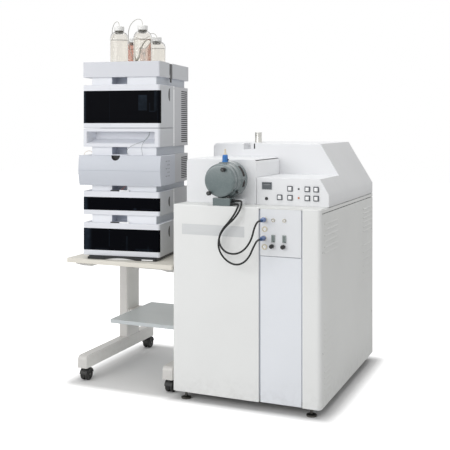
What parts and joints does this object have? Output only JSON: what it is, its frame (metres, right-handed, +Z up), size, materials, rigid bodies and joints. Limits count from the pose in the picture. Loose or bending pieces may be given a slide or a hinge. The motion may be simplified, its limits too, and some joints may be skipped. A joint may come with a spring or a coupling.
{
  "type": "liquid chromatograph mass spectrometer",
  "caption": "Floor-standing spectrometer cabinet with a round ion source and switch console, beside a wheeled table carrying stacked chromatography modules and solvent bottles",
  "frame": {"origin": "under the centre of the cabinet's front left levelling foot, at floor level", "axes": "+X to the right along the cabinet's front, +Y towards its back, +Z up"},
  "size_m": [1.2327, 1.0652, 1.7164],
  "materials": {
    "cabinet_white": "fine textured off-white enamel",
    "panel_grey": "smooth pale blue-grey enamel",
    "hood_white": "moulded satin white",
    "switch_black": "dark grey bezel",
    "button_white": "white cap",
    "source_enamel": "grey-green hammered enamel",
    "knob_black": "black moulded knob",
    "sprayer_blue": "blue moulded body",
    "fitting_metal": "turned metal and dark inserts",
    "plug_metal": "bluish plated shell with black boot",
    "inner_metal": "machined",
    "rack_steel": "plain painted boxes",
    "foot_steel": "plated with a dark pad",
    "table_laminate": "beige laminate",
    "table_steel": "off-white powder coat",
    "shelf_grey": "pale blue-grey powder coat",
    "castor_black": "black tread and hood",
    "module_white": "cool pale grey moulding",
    "tray_grey": "light bluish grey moulding",
    "glass_clear": "clear glass, one bottle amber",
    "cap_white": "white screw caps",
    "cable_black": "black jacket",
    "tube_clear": "thin clear tube",
    "capillary_green": "thin dark green line"
  },
  "bodies": {
    "root": {"cabinet_frame": "cabinet_white", "levelling_feet": "foot_steel", "front_left_panel": "cabinet_white", "front_right_panel": "cabinet_white", "connector_panel": "panel_grey", "lower_centre_panel": "panel_grey", "side_panels": "cabinet_white", "rear_panel": "cabinet_white", "hood_cover": "hood_white", "top_port": "hood_white", "source_plate": "hood_white", "source_housing": "source_enamel", "sprayer": "sprayer_blue", "control_panel": "hood_white", "switch_bezels": "switch_black", "panel_fittings": "fitting_metal", "vacuum_chamber": "inner_metal", "electronics_rack": "rack_steel", "tabletop": "table_laminate", "table_frame": "table_steel", "lower_shelf": "shelf_grey", "pump_case": "module_white", "degasser_case": "module_white", "oven_case": "module_white", "sampler_case": "module_white", "solvent_tray": "tray_grey", "bottles": "glass_clear", "bottle_caps": "cap_white", "cable_upper": "cable_black", "cable_lower": "cable_black", "cable_plugs": "plug_metal", "solvent_tube_1": "tube_clear", "solvent_tube_2": "tube_clear", "solvent_tube_3": "tube_clear", "solvent_tube_4": "tube_clear", "capillary": "capillary_green"},
    "pump_cover": {"pump_cover": "module_white"},
    "degasser_cover": {"degasser_cover": "module_white"},
    "sampler_cover": {"sampler_cover": "module_white"},
    "oven_flap": {"oven_flap": "module_white"},
    "source_cover": {"source_cover": "source_enamel"},
    "source_knob_upper": {"source_knob_upper": "knob_black"},
    "source_knob_lower": {"source_knob_lower": "knob_black"},
    "valve_knob_left": {"valve_knob_left": "knob_black"},
    "valve_knob_right": {"valve_knob_right": "knob_black"},
    "button_1": {"button_1": "button_white"},
    "button_2": {"button_2": "button_white"},
    "button_3": {"button_3": "button_white"},
    "button_4": {"button_4": "button_white"},
    "button_5": {"button_5": "button_white"},
    "button_6": {"button_6": "button_white"},
    "button_7": {"button_7": "button_white"},
    "castor_fork_left_front": {"castor_fork_left_front": "castor_black"},
    "castor_wheel_left_front": {"castor_wheel_left_front": "castor_black"},
    "castor_fork_left_back": {"castor_fork_left_back": "castor_black"},
    "castor_wheel_left_back": {"castor_wheel_left_back": "castor_black"},
    "castor_fork_right_front": {"castor_fork_right_front": "castor_black"},
    "castor_wheel_right_front": {"castor_wheel_right_front": "castor_black"},
    "castor_fork_right_back": {"castor_fork_right_back": "castor_black"},
    "castor_wheel_right_back": {"castor_wheel_right_back": "castor_black"}
  },
  "joints": [
    {"name": "pump_cover_slide", "type": "slide", "parent": "root", "child": "pump_cover", "axis": [0.1392, -0.9903, 0], "range_m": [0, 0.12]},
    {"name": "degasser_cover_slide", "type": "slide", "parent": "root", "child": "degasser_cover", "axis": [0.1392, -0.9903, 0], "range_m": [0, 0.12]},
    {"name": "sampler_cover_slide", "type": "slide", "parent": "root", "child": "sampler_cover", "axis": [0.1392, -0.9903, 0], "range_m": [0, 0.12]},
    {"name": "oven_flap_hinge", "type": "hinge", "parent": "root", "child": "oven_flap", "pos_m": [-0.337, -0.00024, 0.9343], "axis": [0.9903, 0.1392, 0], "range_deg": [0, 85]},
    {"name": "source_cover_slide", "type": "slide", "parent": "root", "child": "source_cover", "axis": [0, -1, 0], "range_m": [0, 0.06]},
    {"name": "source_knob_upper_turn", "type": "hinge", "parent": "source_cover", "child": "source_knob_upper", "pos_m": [0.2023, -0.053, 1.02], "axis": [0, -1, 0], "continuous": true},
    {"name": "source_knob_lower_turn", "type": "hinge", "parent": "source_cover", "child": "source_knob_lower", "pos_m": [0.1363, -0.053, 0.917], "axis": [0, -1, 0], "continuous": true},
    {"name": "valve_knob_left_turn", "type": "hinge", "parent": "root", "child": "valve_knob_left", "pos_m": [0.4173, -0.046, 0.702], "axis": [0, -1, 0], "range_deg": [0, 270]},
    {"name": "valve_knob_right_turn", "type": "hinge", "parent": "root", "child": "valve_knob_right", "pos_m": [0.4673, -0.046, 0.702], "axis": [0, -1, 0], "range_deg": [0, 270]},
    {"name": "button_1_press", "type": "slide", "parent": "root", "child": "button_1", "axis": [0, 1, 0], "range_m": [0, 0.003], "stiffness_N_per_m": 300, "springref_m": -0.002},
    {"name": "button_2_press", "type": "slide", "parent": "root", "child": "button_2", "axis": [0, 1, 0], "range_m": [0, 0.003], "stiffness_N_per_m": 300, "springref_m": -0.002},
    {"name": "button_3_press", "type": "slide", "parent": "root", "child": "button_3", "axis": [0, 1, 0], "range_m": [0, 0.003], "stiffness_N_per_m": 300, "springref_m": -0.002},
    {"name": "button_4_press", "type": "slide", "parent": "root", "child": "button_4", "axis": [0, 1, 0], "range_m": [0, 0.003], "stiffness_N_per_m": 300, "springref_m": -0.002},
    {"name": "button_5_press", "type": "slide", "parent": "root", "child": "button_5", "axis": [0, 1, 0], "range_m": [0, 0.003], "stiffness_N_per_m": 300, "springref_m": -0.002},
    {"name": "button_6_press", "type": "slide", "parent": "root", "child": "button_6", "axis": [0, 1, 0], "range_m": [0, 0.003], "stiffness_N_per_m": 300, "springref_m": -0.002},
    {"name": "button_7_press", "type": "slide", "parent": "root", "child": "button_7", "axis": [0, 1, 0], "range_m": [0, 0.003], "stiffness_N_per_m": 300, "springref_m": -0.002},
    {"name": "castor_swivel_left_front", "type": "hinge", "parent": "root", "child": "castor_fork_left_front", "pos_m": [-0.551, 0.037, 0.062], "axis": [0, 0, 1], "continuous": true},
    {"name": "castor_spin_left_front", "type": "hinge", "parent": "castor_fork_left_front", "child": "castor_wheel_left_front", "pos_m": [-0.551, 0.051, 0.028], "axis": [1, 0, 0], "continuous": true},
    {"name": "castor_swivel_left_back", "type": "hinge", "parent": "root", "child": "castor_fork_left_back", "pos_m": [-0.551, 0.652, 0.062], "axis": [0, 0, 1], "continuous": true},
    {"name": "castor_spin_left_back", "type": "hinge", "parent": "castor_fork_left_back", "child": "castor_wheel_left_back", "pos_m": [-0.551, 0.666, 0.028], "axis": [1, 0, 0], "continuous": true},
    {"name": "castor_swivel_right_front", "type": "hinge", "parent": "root", "child": "castor_fork_right_front", "pos_m": [-0.101, 0.037, 0.062], "axis": [0, 0, 1], "continuous": true},
    {"name": "castor_spin_right_front", "type": "hinge", "parent": "castor_fork_right_front", "child": "castor_wheel_right_front", "pos_m": [-0.101, 0.051, 0.028], "axis": [1, 0, 0], "continuous": true},
    {"name": "castor_swivel_right_back", "type": "hinge", "parent": "root", "child": "castor_fork_right_back", "pos_m": [-0.101, 0.652, 0.062], "axis": [0, 0, 1], "continuous": true},
    {"name": "castor_spin_right_back", "type": "hinge", "parent": "castor_fork_right_back", "child": "castor_wheel_right_back", "pos_m": [-0.101, 0.666, 0.028], "axis": [1, 0, 0], "continuous": true}
  ]
}
